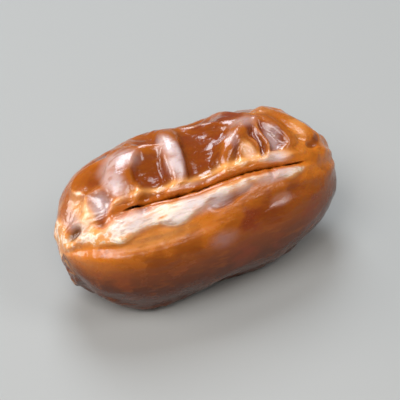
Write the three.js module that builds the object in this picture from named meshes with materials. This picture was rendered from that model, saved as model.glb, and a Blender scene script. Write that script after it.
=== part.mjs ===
// A dried, pitted date: one piece of soft flesh in its wrinkled skin, slit lengthwise where the stone was.
// Millimetres, +Z up. X runs along the date, with the stem end at -X, and the slit leans from straight up
// towards -Y. The origin is under the middle of the date, on the surface that it lies on.
import * as THREE from "three";

const { degToRad, lerp, smoothstep } = THREE.MathUtils;

// Driving dimensions of the plump, unwrinkled body
const LENGTH = 38;
const WIDTH = 20.5; // across the slit
const THICKNESS = 17; // from the slit to the back
const SLIT_LEAN = degToRad(42); // from straight up towards -Y
const SETTLED = 1.0; // how deep the flesh has gone flat where it rests
const STEM_BLUNTNESS = 3.4; // the stem end is blunter than the tip
const TIP_BLUNTNESS = 2.6;
const SECTION_POWER = 2.25; // 2 is an ellipse, and more is squarer

// The slit and the hollow under it, which has half closed since the stone left
const SLIT_START = -12.8; // along X
const SLIT_END = 12.8;
const SLIT_ASIDE = 1.05; // how far its middle lies off the body's own, towards the back
const SLIT_TURN = 0.065; // how much less so for each millimetre along X
const SLIT_WANDER = 0.22;
const SLIT_RAMP = 4.5; // over which it deepens from each end
const SLIT_TAPER = 8; // over which the mouth narrows towards each end
const SLIT_DEPTH = 7.6;
const GAP = 0.18; // half the mouth's width where it is narrow
const GAPE = 0.16; // what the mouth gains on each side where it gapes
const GAPE_AT = -5.5; // along X
const GAPE_REACH = 5;
const MOUTH_NARROWING = 0.5; // the share of the mouth's width that is left at its ends
const HOLLOW = 1.4; // half the width that the hollow gains below the mouth
const LIP = 0.75; // how far each lip takes to roll over into the slit
const NECK = 0.78; // the mouth's place in the profile from the hollow's floor, at 0, to the lip, at 1
const SEAM_SPREAD = degToRad(7); // what the same profile covers of the skin where there is no slit
const SEAM_DEPTH = 0.28; // of the line on which the slit closed up towards the scar
const SEAM_WIDTH = 0.5;

// The lower lip is a broad roll that ends in a steep edge, and the upper one is thin
const LOWER_LIP_STEM_WIDTH = 3.4;
const LOWER_LIP_WIDTH = 2.1;
const LOWER_LIP_TIP_WIDTH = 1.5;
const LOWER_LIP_STEM_HEIGHT = 0.62;
const LOWER_LIP_HEIGHT = 0.44;
const UPPER_LIP_HEIGHT = 0.32;
const UPPER_LIP_WIDTH = 0.5;
const UPPER_LIP_AT = 1.15; // round the skin from the slit's middle
const LIP_CALM = 0.45; // how much of the wrinkles the lips lose
const LIP_CALM_REACH = 1.4;

// The fold lines run as quadratic curves, and each fades out at its ends
const FOLD_STEPS = 14;

// The mesh has rings across X, each with one line on the slit's floor, some up each wall and the rest round
// the skin
const RINGS = 84;
const WALL_LINES = 6;
const SKIN_LINES = 56;
const CROWDING = 0.3; // how much closer the skin's lines lie beside the slit than over the whole ring
const TINY = 1e-3;

// The skin sinks in as facets that share crests. x and angle place them, with the angle from the middle of
// the slit's side towards the back. along and across are half sizes, turn swings them, and depth is down.
const facet = (x, angle, along, across, turn, depth) => ({ x, angle, along, across, turn, depth });
const FACETS = [
  facet(-14.6, 31, 1.7, 1.9, 10, 0.5),
  facet(-17.0, 64, 2.0, 2.6, 0, 0.3),
  facet(-13.6, 62, 2.2, 2.2, 0, 0.35),
  facet(-11.9, 22, 1.9, 1.1, 30, 0.25),
  facet(-10.6, 48, 3.6, 1.4, 56, 0.12),
  facet(-7.2, 37, 3.6, 1.9, 42, 1.05),
  facet(-9.4, 86, 4.0, 2.4, 10, 0.5),
  facet(-5.2, 68, 1.8, 2.4, 25, 0.5),
  facet(-0.2, 41, 3.5, 3.1, 34, 0.95),
  facet(2.6, 82, 4.4, 2.2, 14, 0.7),
  facet(3.6, 29, 2.0, 1.3, 34, 0.45),
  facet(5.5, 21, 1.4, 1.5, 0, 0.08),
  facet(7.3, 29, 0.9, 2.8, -6, 0.8),
  facet(9.6, 30, 1.4, 2.2, 6, 0.5),
  facet(9.0, 11, 2.2, 0.9, 0, 0.05),
  facet(0.6, -4, 2.2, 0.8, 0, 0.25),
  facet(9.8, 84, 3.4, 2.4, -14, 0.45),
  facet(12.4, 46, 1.4, 3.4, 12, 0.1),
  facet(12.9, 26, 1.0, 1.0, 0, 0.32),
  facet(15.2, 56, 2.2, 2.4, -30, 0.3),
  facet(15.0, 22, 0.9, 0.8, 30, 0.25),
  facet(-3.4, 103, 5.6, 2.0, 8, 0.7),
  facet(5.4, 110, 5.4, 1.7, -10, 0.55),
  facet(-11.6, 112, 3.4, 2.6, -12, 0.55),
  facet(13.0, 104, 4.2, 2.0, 12, 0.5),
  facet(-9.0, -82, 5.4, 2.2, 5, 0.25),
  facet(1.6, -88, 5.6, 2.2, -6, 0.3),
  facet(11.2, -82, 4.4, 2.2, 6, 0.25),
];

// Further facets over the back and the underside, spread by the golden ratio so that no two are alike
const BACK_FACETS = 28;
const BACK_FROM = 118; // degrees
const BACK_TO = 262;
const BACK_REACH = 16.5; // along X, each way
const BACK_ALONG = [2.4, 7.5]; // from the least to the most
const BACK_ACROSS = [1.2, 2.6];
const BACK_TURN = [-24, 24];
const BACK_DEPTH = [0.25, 0.75];
const GOLDEN = 0.618034;
const fraction = (value) => value - Math.floor(value);
const BACK = Array.from({ length: BACK_FACETS }, (_, i) => {
  const a = fraction((i + 1) * GOLDEN);
  const b = fraction((i + 1) * GOLDEN * GOLDEN + 0.37);
  return facet(
    lerp(-BACK_REACH, BACK_REACH, (i + 0.5) / BACK_FACETS),
    lerp(BACK_FROM, BACK_TO, a),
    lerp(...BACK_ALONG, b * b),
    lerp(...BACK_ACROSS, fraction(a + b)),
    lerp(...BACK_TURN, fraction(2 * a + b)),
    lerp(...BACK_DEPTH, fraction(a + 2 * b)),
  );
});

const FACET_REACH = [1.3, 1.9]; // from where to where a facet fades into the skin, in its own half sizes
const FACET_STEEPNESS = 0.45; // how far in from its crests it is deep, beside its smaller half size
const CREST = 0.22; // between two deep facets
const CREST_LEAST = 0.25; // the share of it between two that aren't sunk at all
const CREST_WIDTH = 0.35; // and a share of the facet's smaller half size on top
const CREST_SHARE = 0.1;
const LEAN = 0.5; // how much deeper a facet is at its edge towards the slit than in its middle
const REACH_THROUGH = 3.6; // how far a facet reaches through the body before it fades
const WARP = 0.32; // how far the facets' outlines wander
const FAR_OFF = 9; // beyond every facet, in half sizes

// Broad folds and furrows: raised where height is positive, creased where it is negative. The ends and the
// middle are [x, angle].
const fold = (start, middle, end, height, width) => ({ start, middle, end, height, width });
const FOLDS = [
  fold([-4.6, 16], [-3.7, 44], [-2.0, 76], 0.65, 1.45),
  fold([0.6, 18], [4.6, 38], [8.8, 54], 0.6, 1.1),
  fold([8.6, 54], [10.9, 44], [12.0, 18], 0.55, 1.0),
  fold([4.4, 34], [6.2, 28], [5.9, 14], 0.3, 0.7),
  fold([-12.6, 20], [-12.2, 42], [-7.6, 66], 0.55, 1.7),
  fold([9.4, 68], [13.8, 44], [17.0, 10], 0.5, 1.3),
  fold([-17.4, 20], [-14, 12], [-11.0, 18], 0.25, 0.6),
  fold([-17.0, -17], [-11, -27], [-2.2, -21], -0.36, 0.8),
  fold([4, -24], [9, -18], [14.6, -30], -0.2, 0.8),
  fold([-15, 128], [-4, 120], [9, 132], 0.5, 0.8),
  fold([-8, 156], [3, 164], [14, 148], 0.5, 0.8),
  fold([-13.5, 190], [-2, 182], [11.5, 196], 0.45, 0.85),
  fold([-10, 222], [0, 214], [13, 226], 0.35, 0.8),
];
const FOLD_FLATNESS = 3; // 2 is a bell, and more is flatter on top
const FOLD_SMOOTHS = 0.5; // a fold this high shows nothing of the facets under it

// The pit that the stem's scar leaves, a little off the end, with a soft collar
const SCAR_X = -18.1;
const SCAR_ANGLE = degToRad(25);
const SCAR_ALONG = 1.2; // half sizes
const SCAR_ACROSS = 0.62;
const SCAR_DEPTH = 0.38;
const SCAR_THROUGH = 2; // how far it reaches through the body
const COLLAR = 0.22;
const COLLAR_REACH = 1.7; // in the scar's own half sizes from its middle
const COLLAR_WIDTH = 0.5;

// The skin gathers towards both ends
const GATHERS = 9;
const GATHER_HEIGHT = 0.2;
const GATHER_GIRTH = 0.5; // they are highest where the body is this thick beside its middle
const GATHER_SPREAD = 0.24;

// Slow unevenness, as no date is a true oval
const SWELL = 0.3;
const TWIST = 0.18;

// Directions in the frame: out through the slit, and across it towards the back
const OUT = new THREE.Vector3(0, -Math.sin(SLIT_LEAN), Math.cos(SLIT_LEAN));
const ACROSS = new THREE.Vector3(0, Math.cos(SLIT_LEAN), Math.sin(SLIT_LEAN));

// How thick the body is at a station, from 0 at an end to 1 at the middle. A station runs from 0 to pi.
function girth(station) {
  const place = -Math.cos(station);
  const power = place < 0 ? STEM_BLUNTNESS : TIP_BLUNTNESS;
  return Math.sqrt(Math.max(0, 1 - Math.abs(place) ** power));
}

function sectionRadius(angle) {
  const out = Math.abs(Math.cos(angle)) / (THICKNESS / 2);
  const across = Math.abs(Math.sin(angle)) / (WIDTH / 2);
  return (out ** SECTION_POWER + across ** SECTION_POWER) ** (-1 / SECTION_POWER);
}

const direction = (angle) =>
  OUT.clone().multiplyScalar(Math.cos(angle)).addScaledVector(ACROSS, Math.sin(angle));

function bodyPoint(station, angle) {
  const point = direction(angle).multiplyScalar(girth(station) * sectionRadius(angle));
  point.x = (-Math.cos(station) * LENGTH) / 2;
  return point;
}

const stationAt = (x) => Math.acos(THREE.MathUtils.clamp((-2 * x) / LENGTH, -1, 1));

// The body's own directions at a point: along it, round it and out of it
function bodyFrame(station, angle) {
  const s = THREE.MathUtils.clamp(station, 2 * TINY, Math.PI - 2 * TINY);
  const along = bodyPoint(s + TINY, angle).sub(bodyPoint(s - TINY, angle)).normalize();
  const round = bodyPoint(s, angle + TINY).sub(bodyPoint(s, angle - TINY)).normalize();
  const out = new THREE.Vector3().crossVectors(along, round).normalize();
  return { along, round: round.crossVectors(out, along), out };
}

// A facet with its place and its own axes on the body
function placed({ x, angle, turn, ...rest }) {
  const station = stationAt(x);
  const { along, round, out } = bodyFrame(station, degToRad(angle));
  const swing = degToRad(turn);
  return {
    ...rest,
    centre: bodyPoint(station, degToRad(angle)),
    u: along.clone().multiplyScalar(Math.cos(swing)).addScaledVector(round, Math.sin(swing)),
    v: round.clone().multiplyScalar(Math.cos(swing)).addScaledVector(along, -Math.sin(swing)),
    out,
  };
}

// A fold as a chain of points on the body
function traced({ start, middle, end, ...rest }) {
  const curve = new THREE.QuadraticBezierCurve(
    new THREE.Vector2(...start),
    new THREE.Vector2(...middle),
    new THREE.Vector2(...end),
  );
  const points = curve.getPoints(FOLD_STEPS).map((p) => bodyPoint(stationAt(p.x), degToRad(p.y)));
  return { ...rest, points };
}

const placedFacets = [...FACETS, ...BACK].map(placed);
const tracedFolds = FOLDS.map(traced);

const bell = (value, width) => Math.exp(-((value / width) ** 2));

// A point moved a little, so that outlines laid on it are uneven
function wandering({ x, y, z }) {
  const aside = new THREE.Vector3(
    Math.sin(1.1 * y + 0.8 * z + 0.5) + 0.5 * Math.sin(2.3 * z - 1.3 * x),
    Math.sin(0.9 * x - 1.0 * z + 2.1) + 0.5 * Math.sin(2.1 * x + 1.7 * y),
    Math.sin(0.8 * x + 1.2 * y + 4.0) + 0.5 * Math.sin(1.9 * y - 2.2 * x),
  );
  return aside.multiplyScalar(WARP).add(new THREE.Vector3(x, y, z));
}

// The height of the facet that a point lies in, with its share of the crest towards the next one
function facetHeight(point) {
  const moved = wandering(point);
  let nearest = { far: FAR_OFF, depth: 0, size: 1, side: 0 };
  let second = nearest;
  for (const { centre, u, v, out, along, across, depth } of placedFacets) {
    const offset = moved.clone().sub(centre);
    const side = offset.dot(v) / across;
    const far = Math.hypot(offset.dot(u) / along, side, offset.dot(out) / REACH_THROUGH);
    if (far >= second.far) continue;
    const found = { far, depth, size: Math.min(along, across), side };
    if (far < nearest.far) [nearest, second] = [found, nearest];
    else second = found;
  }
  const edge = ((second.far - nearest.far) * nearest.size) / 2;
  const there = 1 - smoothstep(nearest.far, ...FACET_REACH);
  const sunk = 1 - bell(edge, FACET_STEEPNESS * nearest.size);
  const rise = CREST * Math.min(1, CREST_LEAST + (nearest.depth + second.depth) / 2);
  const crest = rise * bell(edge, CREST_WIDTH + CREST_SHARE * nearest.size);
  return there * (crest - nearest.depth * sunk * (1 - LEAN * nearest.side));
}

const segment = new THREE.Line3();
const nearby = new THREE.Vector3();

function foldHeight(point, { points, height, width }) {
  let gap = Infinity;
  let place = 0;
  for (let i = 0; i < FOLD_STEPS; i++) {
    segment.set(points[i], points[i + 1]);
    const t = segment.closestPointToPointParameter(point, true);
    const distance = segment.at(t, nearby).distanceTo(point);
    if (distance < gap) {
      gap = distance;
      place = (i + t) / FOLD_STEPS;
    }
  }
  const fade = Math.sqrt(Math.max(0, Math.sin(Math.PI * place)));
  return height * fade * Math.exp(-((gap / width) ** FOLD_FLATNESS));
}

// 1 between two places and 0 outside them, with soft ramps inside
const between = (x, from, to, ramp) => smoothstep(x, from, from + ramp) * (1 - smoothstep(x, to - ramp, to));

// The slit's middle wanders off the body's own, and turns towards the scar at the stem end
const slitAngle = (x) => (SLIT_ASIDE - SLIT_TURN * x + SLIT_WANDER * Math.sin(x / 2.6)) / (THICKNESS / 2);

// How open the slit is at a place along X, from 0 to 1, and how wide beside its full width
const openness = (x) => between(x, SLIT_START, SLIT_END, SLIT_RAMP);
const taper = (x) => lerp(MOUTH_NARROWING, 1, between(x, SLIT_START, SLIT_END, SLIT_TAPER));

const mouth = (x) => (GAP + GAPE * bell(x - GAPE_AT, GAPE_REACH)) * taper(x);

// How far round the skin an angle lies from the slit's middle, in millimetres, and below 0 in front of it
function arcFromSlit(station, angle) {
  const side = angle - slitAngle((-Math.cos(station) * LENGTH) / 2);
  return Math.atan2(Math.sin(side), Math.cos(side)) * (THICKNESS / 2) * girth(station);
}

function lowerLip(x, arc, wander) {
  const stem = 1 - smoothstep(x, -8, 0);
  const width = lerp(LOWER_LIP_WIDTH, LOWER_LIP_TIP_WIDTH, smoothstep(x, 2, 10));
  const broad = lerp(width, LOWER_LIP_STEM_WIDTH, stem);
  const edge = (broad + 2 * wander) * smoothstep(x, -21, -14);
  const roll = smoothstep(-arc, 0, 0.5 * broad) * (1 - smoothstep(-arc, edge - 0.75, edge + 0.35));
  return lerp(LOWER_LIP_HEIGHT, LOWER_LIP_STEM_HEIGHT, stem) * (1 + 1.2 * wander) * roll;
}

function upperLip(x, arc, wander) {
  const uneven = 1 + 0.25 * Math.sin(1.9 * x + 0.8) + 0.25 * Math.sin(0.8 * x + 2.4);
  return UPPER_LIP_HEIGHT * uneven * bell(arc - UPPER_LIP_AT + wander, UPPER_LIP_WIDTH);
}

function lipHeight(x, arc) {
  const wander = 0.13 * Math.sin(0.83 * x + 0.4) + 0.04 * Math.sin(1.9 * x + 1.9);
  const there = smoothstep(x, -18, -14) * (1 - smoothstep(x, 10, 15));
  return there * (lowerLip(x, arc, wander) + upperLip(x, arc, wander));
}

// The line on which the slit closed up between its end and the scar
function seamHeight(x, arc) {
  const closed = smoothstep(x, -17.8, -16) * (1 - smoothstep(x, SLIT_START, SLIT_START + SLIT_RAMP));
  return -SEAM_DEPTH * closed * bell(arc, SEAM_WIDTH);
}

// The wrinkles run out towards the slit, so that its lips stay whole
const calmed = (x, arc) => 1 - LIP_CALM * openness(x) * bell(arc, LIP_CALM_REACH);

const scarStation = stationAt(SCAR_X);
const scarCentre = bodyPoint(scarStation, SCAR_ANGLE);
const scarFrame = bodyFrame(scarStation, SCAR_ANGLE);

function scarHeight(point) {
  const offset = point.clone().sub(scarCentre);
  const far = Math.hypot(
    offset.dot(scarFrame.along) / SCAR_ALONG,
    offset.dot(scarFrame.round) / SCAR_ACROSS,
    offset.dot(scarFrame.out) / SCAR_THROUGH,
  );
  return COLLAR * bell(far - COLLAR_REACH, COLLAR_WIDTH) - SCAR_DEPTH * Math.exp(-(far ** 4));
}

function gatherHeight(station, angle) {
  const uneven = 0.7 + 0.3 * Math.sin(3 * angle + 1.2);
  const wave = Math.sin(GATHERS * angle + 1.4 * Math.sin(2 * angle) + 0.6);
  return GATHER_HEIGHT * uneven * bell(girth(station) - GATHER_GIRTH, GATHER_SPREAD) * wave;
}

function unevenness(x, angle) {
  const swell = SWELL * Math.sin(0.24 * x + 1.1) * Math.cos(2 * angle + 0.7);
  return swell + TWIST * Math.sin(0.46 * x) * Math.sin(3 * angle + 0.4);
}

// How far the skin stands out from the plump body
function relief(station, angle) {
  const point = bodyPoint(station, angle);
  const arc = arcFromSlit(station, angle);
  let folds = 0;
  for (const one of tracedFolds) folds += foldHeight(point, one);
  const wrinkles = folds + facetHeight(point) * (1 - smoothstep(folds, 0, FOLD_SMOOTHS));
  const form = girth(station) * unevenness(point.x, angle) + gatherHeight(station, angle) + scarHeight(point);
  const lips = lipHeight(point.x, arc) + seamHeight(point.x, arc);
  return form + lips + wrinkles * calmed(point.x, arc);
}

const raised = (station, angle, height) =>
  bodyPoint(station, angle).addScaledVector(bodyFrame(station, angle).out, height);

const skinPoint = (station, angle) => raised(station, angle, relief(station, angle));

// Half the slit's width at a place in its profile, from the hollow's floor, at 0, to the lip, at 1
function profileWidth(place, x) {
  if (place > NECK) return mouth(x) + LIP * taper(x) * ((place - NECK) / (1 - NECK)) ** 2;
  return (mouth(x) * place) / NECK + HOLLOW * Math.sin((Math.PI * place) / NECK) ** 2;
}

// How far round the skin a place in the slit's profile lies from its middle. Where the slit is closed, the
// wall's lines lie spread on the skin.
function wallSpread(station, place) {
  const x = (-Math.cos(station) * LENGTH) / 2;
  const openSpread = profileWidth(place, x) / ((THICKNESS / 2) * girth(station));
  return lerp(SEAM_SPREAD * place ** 2, openSpread, openness(x));
}

// A point of the slit's wall on one side. Its lip carries the skin's relief, which smooths out further in.
function wallPoint(station, place, hand) {
  const x = (-Math.cos(station) * LENGTH) / 2;
  const middle = slitAngle(x);
  const angle = middle + hand * wallSpread(station, place);
  const lip = relief(station, middle + hand * wallSpread(station, 1));
  const height = lerp(relief(station, angle), lip * place, openness(x));
  const down = SLIT_DEPTH * openness(x) * Math.cos((Math.PI / 2) * place) ** 2;
  return raised(station, angle, height).addScaledVector(direction(middle), -down);
}

// The wall's lines lie closer together towards the lip
const wallPlace = (line) => Math.sin((Math.PI / 2) * (line / WALL_LINES));

// One ring: the slit's floor, the wall towards the back, the skin all the way round, and the front wall
function ring(station) {
  const x = (-Math.cos(station) * LENGTH) / 2;
  const lipSpread = wallSpread(station, 1);
  const points = [];
  for (let k = 0; k <= WALL_LINES; k++) points.push(wallPoint(station, wallPlace(k), 1));
  for (let j = 1; j < SKIN_LINES; j++) {
    const turn = (2 * Math.PI * j) / SKIN_LINES;
    const share = (turn - CROWDING * Math.sin(turn)) / (2 * Math.PI);
    const angle = slitAngle(x) + lerp(lipSpread, 2 * Math.PI - lipSpread, share);
    points.push(skinPoint(station, angle));
  }
  for (let k = WALL_LINES; k > 0; k--) points.push(wallPoint(station, wallPlace(k), -1));
  return points;
}

// The two triangles between four points in turn, which meet on the shorter diagonal
function split(points, a, b, c, d) {
  const shorter = points[a].distanceTo(points[c]) < points[b].distanceTo(points[d]);
  return shorter ? [a, b, c, a, c, d] : [b, c, d, b, d, a];
}

function dateGeometry() {
  const rings = [];
  for (let i = 1; i < RINGS; i++) rings.push(ring((Math.PI * i) / RINGS));
  const points = [skinPoint(0, 0), ...rings.flat(), skinPoint(Math.PI, 0)];
  const count = rings[0].length;
  const last = points.length - 1;
  const index = [];
  for (let j = 0; j < count; j++) {
    const next = (j + 1) % count;
    index.push(0, 1 + j, 1 + next);
    for (let i = 0; i < rings.length - 1; i++) {
      const near = 1 + i * count;
      const far = near + count;
      index.push(...split(points, near + j, far + j, far + next, near + next));
    }
    index.push(last, last - count + next, last - count + j);
  }
  const lowest = Math.min(...points.map((p) => p.z));
  for (const p of points) p.z = Math.max(0, p.z - lowest - SETTLED);
  const geometry = new THREE.BufferGeometry().setFromPoints(points);
  geometry.setIndex(index);
  geometry.computeBoundingBox();
  const middle = geometry.boundingBox.getCenter(new THREE.Vector3());
  geometry.translate(-middle.x, -middle.y, 0);
  geometry.computeVertexNormals();
  return geometry;
}

const skin = new THREE.MeshStandardMaterial({ color: 0x9a4a1c, roughness: 0.32, metalness: 0 });
const date = new THREE.Mesh(dateGeometry(), skin);
date.name = "pitted_date";

const part = new THREE.Group();
part.add(date);

export default part;
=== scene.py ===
# The looks of a dried, pitted date: the fine form of its skin, its colours and gloss, and soft studio light.
# The form's formulas are in millimetres, as in the model that the frame comes from. Blender's own units are
# metres. X runs along the date, and an angle runs round it from the slit's side towards the back.
import math

import bpy
import numpy as np
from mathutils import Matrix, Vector, noise


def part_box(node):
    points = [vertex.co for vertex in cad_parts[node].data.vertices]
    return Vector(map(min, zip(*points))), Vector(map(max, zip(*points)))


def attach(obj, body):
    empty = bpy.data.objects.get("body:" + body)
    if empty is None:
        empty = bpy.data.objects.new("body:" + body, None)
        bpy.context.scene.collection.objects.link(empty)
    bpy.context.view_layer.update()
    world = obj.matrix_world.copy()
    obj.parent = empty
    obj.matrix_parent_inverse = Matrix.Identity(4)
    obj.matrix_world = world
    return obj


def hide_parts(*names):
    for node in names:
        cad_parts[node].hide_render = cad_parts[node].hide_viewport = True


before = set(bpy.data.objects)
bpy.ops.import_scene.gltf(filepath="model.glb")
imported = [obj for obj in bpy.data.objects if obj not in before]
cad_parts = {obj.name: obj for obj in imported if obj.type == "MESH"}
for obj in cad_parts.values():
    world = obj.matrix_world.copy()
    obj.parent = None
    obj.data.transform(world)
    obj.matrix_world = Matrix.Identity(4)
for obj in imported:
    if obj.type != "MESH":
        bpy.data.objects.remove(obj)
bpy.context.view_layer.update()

NODE = "pitted_date"
MM = 0.001

# Driving dimensions of the plump, unwrinkled body, as in the model
LENGTH = 38
WIDTH = 20.5  # across the slit
THICKNESS = 17  # from the slit to the back
SLIT_LEAN = math.radians(42)  # from straight up towards -Y
STEM_BLUNTNESS = 3.4  # the stem end is blunter than the tip
TIP_BLUNTNESS = 2.6
SECTION_POWER = 2.25  # 2 is an ellipse, and more is squarer

# The slit's place and the hollow under it, as in the model
SLIT_START = -12.8  # along X
SLIT_END = 12.8
SLIT_ASIDE = 1.05  # how far its middle lies off the body's own, towards the back
SLIT_TURN = 0.065  # how much less so for each millimetre along X
SLIT_WANDER = 0.22
WANDER_LENGTH = 2.6  # along X, for each radian of its wave
SLIT_RAMP = 4.5  # over which it deepens from each end
SLIT_TAPER = 8  # over which the mouth narrows towards each end
SLIT_DEPTH = 7.6
HOLLOW = 1.4  # half the width that the hollow gains below the mouth
LIP = 0.75  # how far each lip takes to roll over into the slit
LIP_NARROWING = 0.5  # the share of it that is left at the slit's ends
NECK = 0.78  # the mouth's place in the profile from the hollow's floor, at 0, to the lip, at 1
SEAM_FROM = (-17.8, -16)  # along X, where the line begins on which the slit closed up next to the scar
SEAM_DEPTH = 0.28
SEAM_WIDTH = 0.5

# The slit's mouth, which is narrower here than the model's coarser mesh can show, and ragged
GAP = 0.03  # half the mouth's width where it is narrow
GAPE = 0.05  # what the mouth gains on each side where it gapes
GAPE_AT = -5.5  # along X
GAPE_REACH = 5
MOUTH_NARROWING = 0.3  # the share of the mouth's width that is left at its ends
MOUTH_RAGGED = 0.45  # the share of its width by which it is uneven
LIP_RAGGED = 0.35  # and the same for the lips' roll
RAGGED_SCALE = 0.55  # per millimetre along X
RAGGED_PLACE = (5.3, 2.2)  # where the line lies in the noise, with the first mirrored for the other wall
RAGGED_APART = 40  # along X, so that the roll and the mouth are uneven at different places

# The lips, as in the model. The lower one is a broad roll with a steep edge, and the upper one is thin.
LIPS_ALONG = ((-18, -14), (10, 15))  # where they rise and fall along X
LIP_WAVES = ((0.13, 0.83, 0.4), (0.04, 1.9, 1.9))  # height, radians for each millimetre along X, and phase
LOWER_LIP_WIDENS = 2  # how much the waves widen the lower lip, and how much they lift it
LOWER_LIP_LIFTS = 1.2
LOWER_LIP_ROLL = 0.5  # the share of its width over which it rises
UPPER_LIP_WAVES = ((0.25, 1.9, 0.8), (0.25, 0.8, 2.4))
LOWER_LIP_STEM_WIDTH = 3.4
LOWER_LIP_WIDTH = 2.1
LOWER_LIP_TIP_WIDTH = 1.5
LOWER_LIP_STEM_HEIGHT = 0.62
LOWER_LIP_HEIGHT = 0.44
LOWER_LIP_SLIMS = (-8, 0)  # along X, where the stem end's width and height give way to the plain ones
LOWER_LIP_TIP = (2, 10)
LOWER_LIP_STARTS = (-21, -14)
LOWER_LIP_EDGE = (0.75, 0.35)  # how far its steep edge reaches in and out
UPPER_LIP_HEIGHT = 0.32
UPPER_LIP_WIDTH = 0.5
UPPER_LIP_AT = 1.15  # round the skin from the slit's middle
LIP_CALM = 0.45  # how much of the wrinkles the lips lose
LIP_CALM_REACH = 1.4

# The mesh, much finer than the model's. It has rings across X, each with lines up both walls of the slit and
# round the skin.
RINGS = 320
WALL_LINES = 18
SKIN_LINES = 262
CROWDING = 0.42  # how much closer the skin's lines lie beside the slit than over the whole ring
SEAM_SPREAD = math.radians(5.5)  # what the walls' lines cover of the skin where there is no slit
SEAM_POWER = 6  # how close to the seam's middle they lie there
SEAM_LEAST = 0.12  # the share of an even spread in that
RISING_POWER = 0.5  # under 1, so that the walls' lines come up to the skin sooner where the slit is shallow
TINY = 1e-3  # a step in radians, for the body's own directions

# The skin sinks in as facets that share crests, as in the model: x, angle, half sizes along and across, turn,
# depth, and how closely the skin clings there, which is for the colour and gloss alone
FACETS = [
    (-14.6, 31, 1.7, 1.9, 10, 0.5, 0.9),
    (-17.0, 64, 2.0, 2.6, 0, 0.3, 0.3),
    (-13.6, 62, 2.2, 2.2, 0, 0.35, 0.5),
    (-11.9, 22, 1.9, 1.1, 30, 0.25, 0.4),
    (-10.6, 48, 3.6, 1.4, 56, 0.12, 0.6),
    (-7.2, 37, 3.6, 1.9, 42, 1.05, 1.0),
    (-9.4, 86, 4.0, 2.4, 10, 0.5, 0.8),
    (-5.2, 68, 1.8, 2.4, 25, 0.5, 0.9),
    (-0.2, 41, 3.5, 3.1, 34, 0.95, 0.9),
    (2.6, 82, 4.4, 2.2, 14, 0.7, 0.95),
    (3.6, 29, 2.0, 1.3, 34, 0.45, 0.75),
    (5.5, 21, 1.4, 1.5, 0, 0.08, 0.0),
    (7.3, 29, 0.9, 2.8, -6, 0.8, 1.0),
    (9.6, 30, 1.4, 2.2, 6, 0.5, 0.85),
    (9.0, 11, 2.2, 0.9, 0, 0.05, 0.0),
    (0.6, -4, 2.2, 0.8, 0, 0.25, 0.6),
    (9.8, 84, 3.4, 2.4, -14, 0.45, 0.6),
    (12.4, 46, 1.4, 3.4, 12, 0.1, 0.0),
    (12.9, 26, 1.0, 1.0, 0, 0.32, 0.6),
    (15.2, 56, 2.2, 2.4, -30, 0.3, 0.3),
    (15.0, 22, 0.9, 0.8, 30, 0.25, 0.6),
    (-3.4, 103, 5.6, 2.0, 8, 0.7, 0.8),
    (5.4, 110, 5.4, 1.7, -10, 0.55, 0.5),
    (-11.6, 112, 3.4, 2.6, -12, 0.55, 0.7),
    (13.0, 104, 4.2, 2.0, 12, 0.5, 0.6),
    (-9.0, -82, 5.4, 2.2, 5, 0.25, 0.2),
    (1.6, -88, 5.6, 2.2, -6, 0.3, 0.3),
    (11.2, -82, 4.4, 2.2, 6, 0.25, 0.2),
]

# The model's further facets over the back and the underside, spread by the golden ratio
BACK_FACETS = 28
BACK_FROM = 118  # degrees
BACK_TO = 262
BACK_REACH = 16.5  # along X, each way
BACK_ALONG = (2.4, 7.5)  # from the least to the most
BACK_ACROSS = (1.2, 2.6)
BACK_TURN = (-24, 24)
BACK_DEPTH = (0.25, 0.75)
BACK_CLING = (0.2, 0.9)
BACK_SHIFT = 0.37
GOLDEN = 0.618034

# How a facet sinks in. The crests are sharper, and the sides steeper, than the model's coarser mesh can show.
FACET_REACH = (1.3, 1.9)  # from where to where, in a facet's own half sizes, it fades into the plain skin
FACET_STEEPNESS = 0.38  # how far in from its crests it is deep, beside its smaller half size
CREST = 0.22  # between two deep facets
CREST_LEAST = 0.25  # the share of it between two that aren't sunk at all
CREST_WIDTH = 0.2  # and a share of the facet's smaller half size on top
CREST_SHARE = 0.1
CUSP_BLUNTNESS = 0.12
LEAN = 0.5  # how much deeper a facet is at its edge towards the slit than in its middle
REACH_THROUGH = 3.6  # how far a facet reaches through the body before it fades
WARP = 0.32  # how far the facets' outlines wander
FAR_OFF = 9.0  # beyond every facet, in half sizes

# Folds, as in the model but a little narrower: start, middle and end as (x, angle), then height and width
FOLDS = [
    ((-4.6, 16), (-3.7, 44), (-2.0, 76), 0.65, 1.45),
    ((0.6, 18), (4.6, 38), (8.8, 54), 0.6, 1.1),
    ((8.6, 54), (10.9, 44), (12.0, 18), 0.55, 1.0),
    ((4.4, 34), (6.2, 28), (5.9, 14), 0.3, 0.7),
    ((-12.6, 20), (-12.2, 42), (-7.6, 66), 0.55, 1.7),
    ((9.4, 68), (13.8, 44), (17.0, 10), 0.5, 1.3),
    ((-17.4, 20), (-14, 12), (-11.0, 18), 0.25, 0.6),
    ((-17.0, -17), (-11, -27), (-2.2, -21), -0.36, 0.8),
    ((4, -24), (9, -18), (14.6, -30), -0.2, 0.8),
    ((-15, 128), (-4, 120), (9, 132), 0.5, 0.8),
    ((-8, 156), (3, 164), (14, 148), 0.5, 0.8),
    ((-13.5, 190), (-2, 182), (11.5, 196), 0.45, 0.85),
    ((-10, 222), (0, 214), (13, 226), 0.35, 0.8),
]
FOLD_STEPS = 14
FOLD_FLATNESS = 3  # 2 is a bell, and more is flatter on top
FOLD_SMOOTHS = 0.5  # a fold this high shows nothing of the facets under it
FOLD_CRISPNESS = 0.9  # their width beside the model's

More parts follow.
